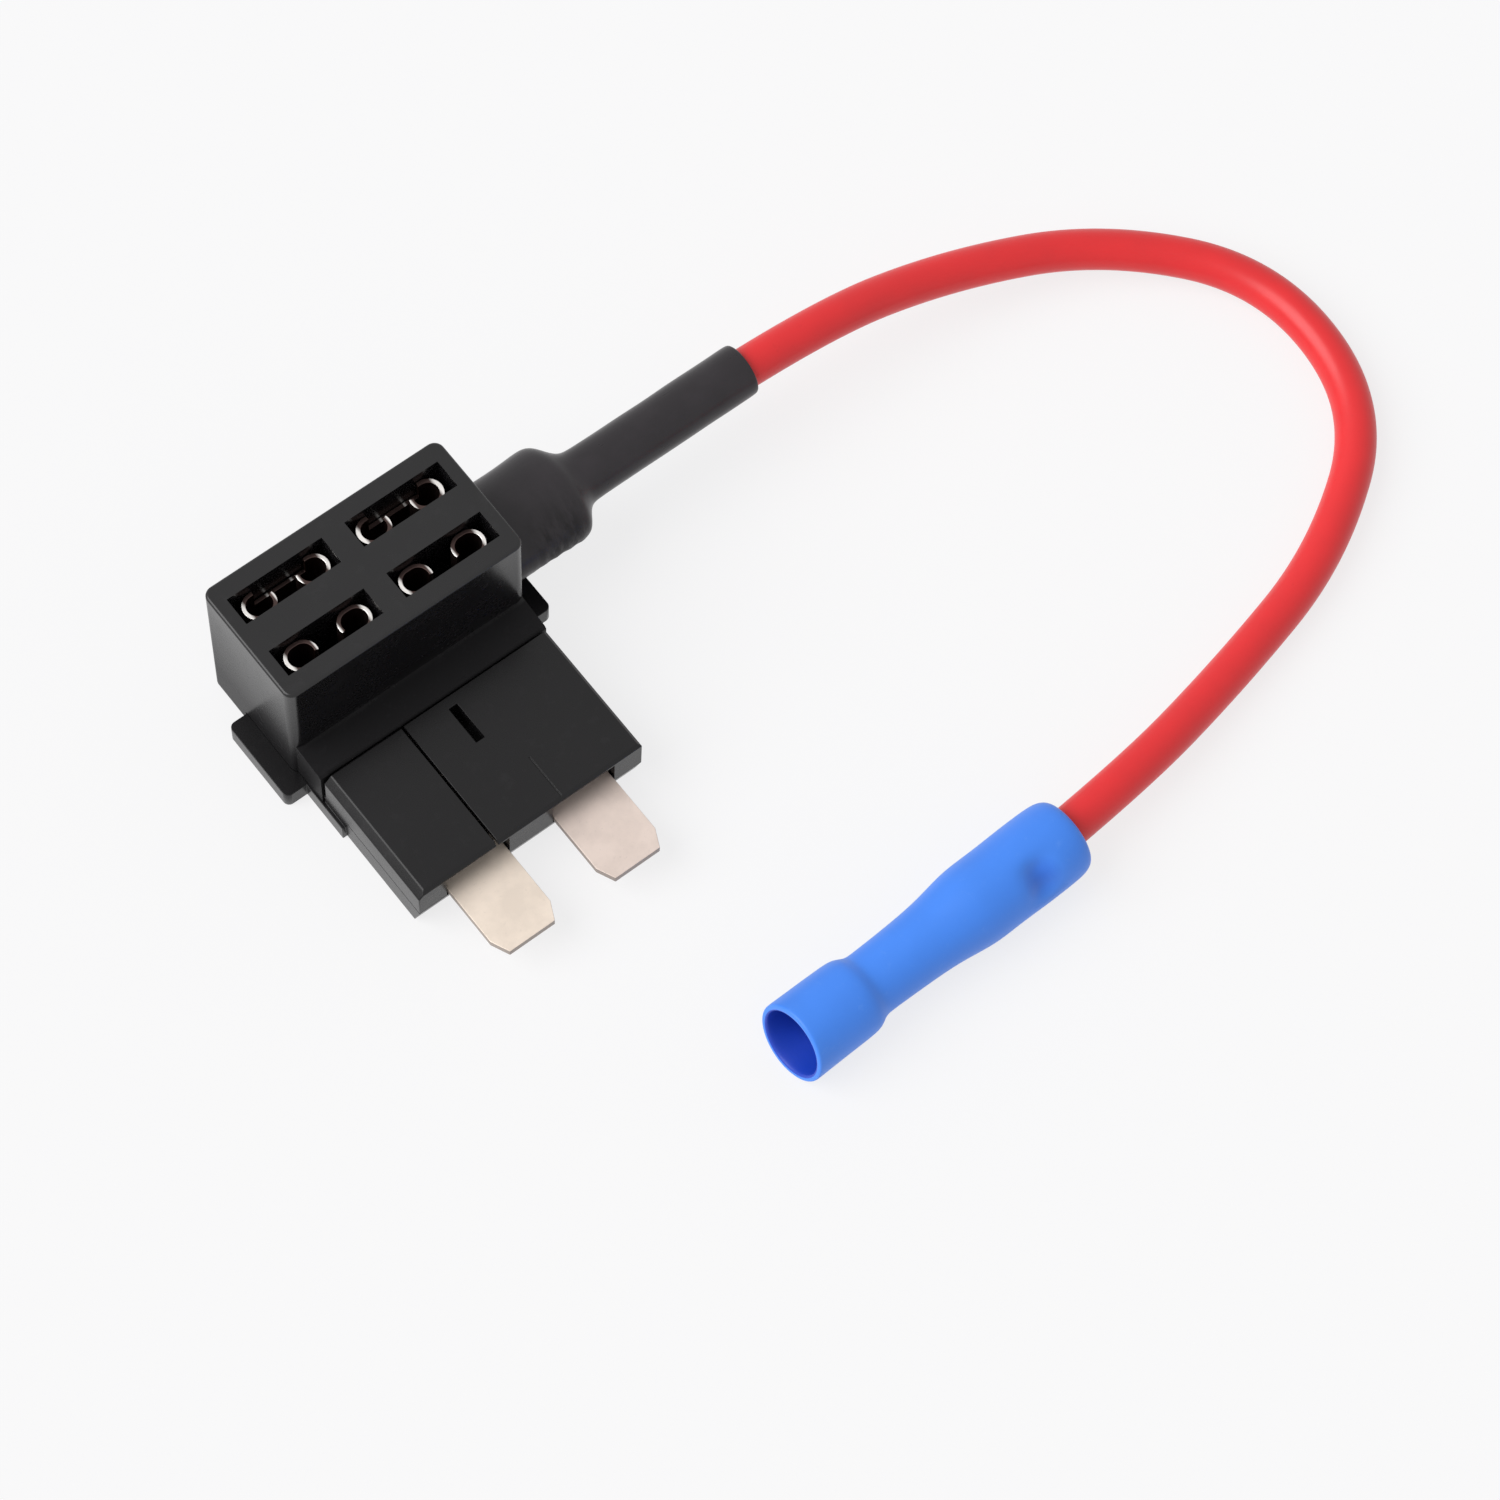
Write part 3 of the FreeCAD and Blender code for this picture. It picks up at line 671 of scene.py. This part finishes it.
class FUSETAP_OT_housing(bpy.types.Operator):
    """Round the edges of the moulded body and give it its plastic"""

    bl_idname = "fusetap.housing"
    bl_label = "Moulded body"

    def execute(self, context):
        look = context.scene.fusetap_housing
        head = moulded_plastic("head_plastic", look, look.head_gloss, dull_foot=True)
        plug = moulded_plastic("plug_plastic", look, look.plug_gloss)
        pieces = {
            "socket_housing": ("head", head),
            "base_shell": ("base", plug),
            "plug_panel_left": ("plug_left", plug),
            "plug_panel_right": ("plug_right", plug),
        }
        for node, (name, material) in pieces.items():
            piece = softened_copy(node, name, look.edge_round)
            paint(piece, material)
        return {"FINISHED"}


class FUSETAP_OT_blades(bpy.types.Operator):
    """Round the stamped edges of the two blades and tin them"""

    bl_idname = "fusetap.blades"
    bl_label = "Blades"

    def execute(self, context):
        look = context.scene.fusetap_metal
        tones = {"feed_blade": look.feed_colour, "return_blade": look.return_colour}
        for node, tone in tones.items():
            name = node.replace("blade", "tongue")
            piece = softened_copy(node, name, look.edge_round)
            # Painted shade on the upright sides of each blade.
            tin = tinned_strip(
                name + "_tin", tone, BLADE_STREAKS, BLADE_SIDE_SHADE, side_shade_share=0.8, metallic=0.2, softness=0.42,
            )
            paint(piece, tin)
        return {"FINISHED"}


class FUSETAP_OT_sockets(bpy.types.Operator):
    """Round the thin edges of the spring sockets and the wire's terminal"""

    bl_idname = "fusetap.sockets"
    bl_label = "Spring sockets"

    def execute(self, context):
        look = context.scene.fusetap_metal
        # Painted shade on the sockets' upright walls and on most of each curl.
        tin = tinned_strip(
            "socket_tin", look.contact_colour, SOCKET_STREAKS, CURL_SHADOW, side_shade_share=0.96, curl_shade=0.97,
        )
        nodes = [n for n in frame["nodes"] if n.startswith("socket_contact")] + ["tap_terminal"]
        for node in nodes:
            piece = softened_copy(node, node + "_spring", look.edge_round)
            paint(piece, tin)
        return {"FINISHED"}


class FUSETAP_OT_sleeve(bpy.types.Operator):
    """Extrude the shrink sleeve: oval over the crimp, narrow and wrinkled along the wire"""

    bl_idname = "fusetap.sleeve"
    bl_label = "Shrink sleeve"

    OUTER = [
        (10.14, 4.04, 2.84), (10.4, 4.08, 2.88), (11.4, 4.08, 2.88), (12.6, 4.07, 2.87), (13.8, 4.08, 2.88),
        (15.0, 4.12, 2.9), (16.0, 4.16, 2.93), (16.6, 4.08, 2.89), (17.05, 3.76, 2.74), (17.4, 3.27, 2.52),
        (17.75, 2.76, 2.34), (18.1, 2.38, 2.22), (18.5, 2.16, 2.13), (19.3, 2.09, 2.09), (21.5, 2.09, 2.09),
        (24.5, 2.08, 2.08), (27.5, 2.09, 2.09), (30.5, 2.08, 2.08), (32.8, 2.09, 2.09), (33.3, 2.08, 2.08),
        (33.48, 2.02, 2.02),
    ]
    INNER = [
        (33.49, 1.72, 1.72), (33.3, 1.6, 1.6), (32.6, 1.56, 1.56), (26.0, 1.56, 1.56), (18.6, 1.6, 1.6),
        (17.4, 2.3, 1.8), (16.0, 3.1, 1.95), (12.0, 3.2, 2.0), (10.4, 3.2, 2.0), (10.14, 3.3, 2.1),
    ]

    SKIN_FROM = 1.9 * MM  # points nearer to the middle than this stay where they are
    # Where the cross ripples lie along X, how far they reach and their pitch, in millimetres
    CRIMP_MIDDLE = 14.6
    CRIMP_REACH = 2.4
    RIPPLE_PITCH = 1.05

    def execute(self, context):
        look = context.scene.fusetap_sleeve
        low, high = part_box("heat_shrink_sleeve")
        self.middle = (low + high) / 2
        piece = extruded_tube("shrink_sleeve", self.OUTER + self.INNER, look.segments, self.middle)
        subdivide_smooth(piece, 2)
        self.wrinkle(piece, look.ripple)
        paint(piece, shrunk_sleeve("sleeve_black", look))
        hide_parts("heat_shrink_sleeve")
        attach(piece, "root")
        return {"FINISHED"}

    def wrinkle(self, piece, ripple):
        """Pull the skin in where it shrank unevenly: cross ripples over the crimp, soft waves beyond."""
        for vertex in piece.data.vertices:
            place = vertex.co
            x = place.x / MM
            outward = Vector((0, place.y - self.middle.y, place.z - self.middle.z))
            if outward.length < self.SKIN_FROM:
                continue
            outward.normalize()
            front = max(0.0, -outward.y * 0.8 + outward.z * 0.45)
            over_crimp = bell(x, self.CRIMP_MIDDLE, self.CRIMP_REACH) * front
            shift = 0.25 * noise.noise(place * 400)
            waves = math.sin(2 * math.pi * (x / self.RIPPLE_PITCH + shift))
            soft = noise.noise(Vector((x * 0.35, place.y * 500, place.z * 500)))
            depth = ripple * (0.9 * over_crimp * (1 - waves) + 0.5 * (1 - soft))
            vertex.co = place - outward * depth


class FUSETAP_OT_wire(bpy.types.Operator):
    """Lay the red wire from the sleeve to the splice"""

    bl_idname = "fusetap.wire"
    bl_label = "Wire"

    def execute(self, context):
        look = context.scene.fusetap_wire
        data = bpy.data.curves.new("red_wire", "CURVE")
        data.dimensions = "3D"
        spline = data.splines.new("NURBS")
        spline.points.add(len(WIRE_ROUTE) - 1)
        for point, (x, y, z) in zip(spline.points, WIRE_ROUTE):
            point.co = (x * MM, y * MM, z * MM, 1)
        spline.order_u = 3
        spline.use_endpoint_u = True
        data.resolution_u = 24
        data.bevel_depth = look.diameter / 2
        data.bevel_resolution = 10
        data.use_fill_caps = True
        wire = bpy.data.objects.new("red_wire", data)
        context.scene.collection.objects.link(wire)
        paint(wire, soft_insulation("insulation_red", look))
        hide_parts("wire_insulation", "wire_conductor")
        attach(wire, "root")
        return {"FINISHED"}


class FUSETAP_OT_splice(bpy.types.Operator):
    """Extrude the crimp splice, dent it and set it on the wire's end"""

    bl_idname = "fusetap.splice"
    bl_label = "Crimp splice"

    OUTER = [
        (0.02, 2.55), (0.2, 2.8), (0.6, 3.0), (1.2, 3.11), (2.4, 3.15), (4.2, 3.14), (5.6, 3.1),
        (7.0, 3.09), (8.4, 3.12), (9.4, 3.07), (10.4, 2.93), (11.4, 2.77), (12.4, 2.65), (13.6, 2.57),
        (15.2, 2.5),
        (16.8, 2.45), (18.1, 2.43), (18.6, 2.47), (18.95, 2.62), (19.3, 2.82), (19.7, 2.95), (20.4, 3.01),
        (22.2, 3.03), (23.6, 3.04), (24.8, 3.07), (25.2, 3.08), (25.38, 3.03),
    ]
    INNER = [
        (25.38, 2.62), (25.2, 2.54), (24.6, 2.51), (23.0, 2.5), (20.8, 2.46), (20.0, 2.3), (18.6, 1.95),
        (18.2, 1.9), (6.6, 1.9), (6.42, 1.66), (4.6, 1.68), (2.6, 2.0), (0.9, 2.3), (0.25, 2.4),
        (0.03, 2.47),
    ]
    BORE_MIDDLE = 15.5 * MM
    SKIN_FROM = 2.1 * MM  # points nearer to the middle than this are only slanted
    SKIN_WAVES = 0.035 * MM
    # Where the slant and the dent lie along the splice, in millimetres from its gripped end
    SLANT_START = 20.5
    SLANT_LENGTH = 4.9
    DENT_AT = 4.4
    DENT_REACH = 1.1
    # How far round the splice the dent lies, in radians, and how quickly it fades round it
    DENT_TURN = 0.76
    DENT_SPREAD = 0.14

    def execute(self, context):
        look = context.scene.fusetap_splice
        rings = [(x, radius, radius) for x, radius in self.OUTER + self.INNER]
        piece = extruded_tube("crimp_splice", rings, look.segments, Vector((0, 0, 0)))
        subdivide_smooth(piece, 2)
        self.shape(piece, look)
        self.set_in_place(piece)
        paint(piece, splice_plastic("splice_blue", look, mount("splice_barrel_bore")))
        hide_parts("splice_insulator")
        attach(piece, "root")
        barrel = softened_copy("splice_barrel", "splice_tube", context.scene.fusetap_metal.edge_round)
        metal = context.scene.fusetap_metal.contact_colour
        # Painted shade on the barrel's upright faces, 0.7 of its metal colour.
        tin = tinned_strip("barrel_tin", metal, BARREL_STREAKS, scaled(metal, 0.7), side_shade_share=0.5)
        paint(barrel, tin)
        return {"FINISHED"}

    def shape(self, piece, look):
        """Slant the mouth and press the crimping tool's dent into the gripped end."""
        lean = math.tan(look.mouth_slant)
        dent_way = Vector((0, math.cos(self.DENT_TURN), math.sin(self.DENT_TURN)))
        for vertex in piece.data.vertices:
            x, y, z = vertex.co
            share = min(1.0, max(0.0, (x / MM - self.SLANT_START) / self.SLANT_LENGTH))
            share = share * share * (3 - 2 * share)
            x = x - z * lean * share
            outward = Vector((0, y, z))
            if outward.length > self.SKIN_FROM:
                outward.normalize()
                facing = bell(outward.dot(dent_way), 1.0, self.DENT_SPREAD)
                press = bell(x / MM, self.DENT_AT, self.DENT_REACH) * facing
                waves = 0.25 + 0.75 * noise.noise(Vector((x, y, z)) * 260)
                depth = look.dent_depth * press + self.SKIN_WAVES * max(0.0, waves)
                y -= outward.y * depth
                z -= outward.z * depth
            vertex.co = (x, y, z)

    def set_in_place(self, piece):
        """Turn the splice along its bore and move it to the wire's end."""
        bore = mount("splice_barrel_bore")
        way = Vector(bore["axis"]).normalized()
        entry = Vector(bore["pos_m"]) - way * self.BORE_MIDDLE
        piece.rotation_euler = (0, 0, math.atan2(way.y, way.x))
        piece.location = entry
        select_only(piece)
        bpy.ops.object.transform_apply(location=True, rotation=True, scale=True)


class FUSETAP_PT_panel(bpy.types.Panel):
    """Lists the steps that dress the fuse tap"""

    bl_label = "Fuse Tap"
    bl_idname = "FUSETAP_PT_panel"
    bl_space_type = "VIEW_3D"
    bl_region_type = "UI"
    bl_category = "Fuse Tap"

    def draw(self, context):
        for operator in OPERATORS:
            self.layout.operator(operator.bl_idname)


SETTINGS = {
    "fusetap_stage": StageSettings,
    "fusetap_housing": HousingSettings,
    "fusetap_metal": MetalSettings,
    "fusetap_sleeve": SleeveSettings,
    "fusetap_wire": WireSettings,
    "fusetap_splice": SpliceSettings,
}
OPERATORS = [
    FUSETAP_OT_stage,
    FUSETAP_OT_housing,
    FUSETAP_OT_blades,
    FUSETAP_OT_sockets,
    FUSETAP_OT_sleeve,
    FUSETAP_OT_wire,
    FUSETAP_OT_splice,
]


def register():
    """Register the settings, the operators and the panel."""
    for name, group in SETTINGS.items():
        bpy.utils.register_class(group)
        setattr(bpy.types.Scene, name, PointerProperty(type=group))
    for operator in OPERATORS:
        bpy.utils.register_class(operator)
    bpy.utils.register_class(FUSETAP_PT_panel)


def unregister():
    """Take the panel, the operators and the settings away again."""
    bpy.utils.unregister_class(FUSETAP_PT_panel)
    for operator in reversed(OPERATORS):
        bpy.utils.unregister_class(operator)
    for name, group in SETTINGS.items():
        delattr(bpy.types.Scene, name)
        bpy.utils.unregister_class(group)


def main():
    """Run every step in order."""
    register()
    bpy.ops.fusetap.stage()
    bpy.ops.fusetap.housing()
    bpy.ops.fusetap.blades()
    bpy.ops.fusetap.sockets()
    bpy.ops.fusetap.sleeve()
    bpy.ops.fusetap.wire()
    bpy.ops.fusetap.splice()


if __name__ == "__main__":
    main()
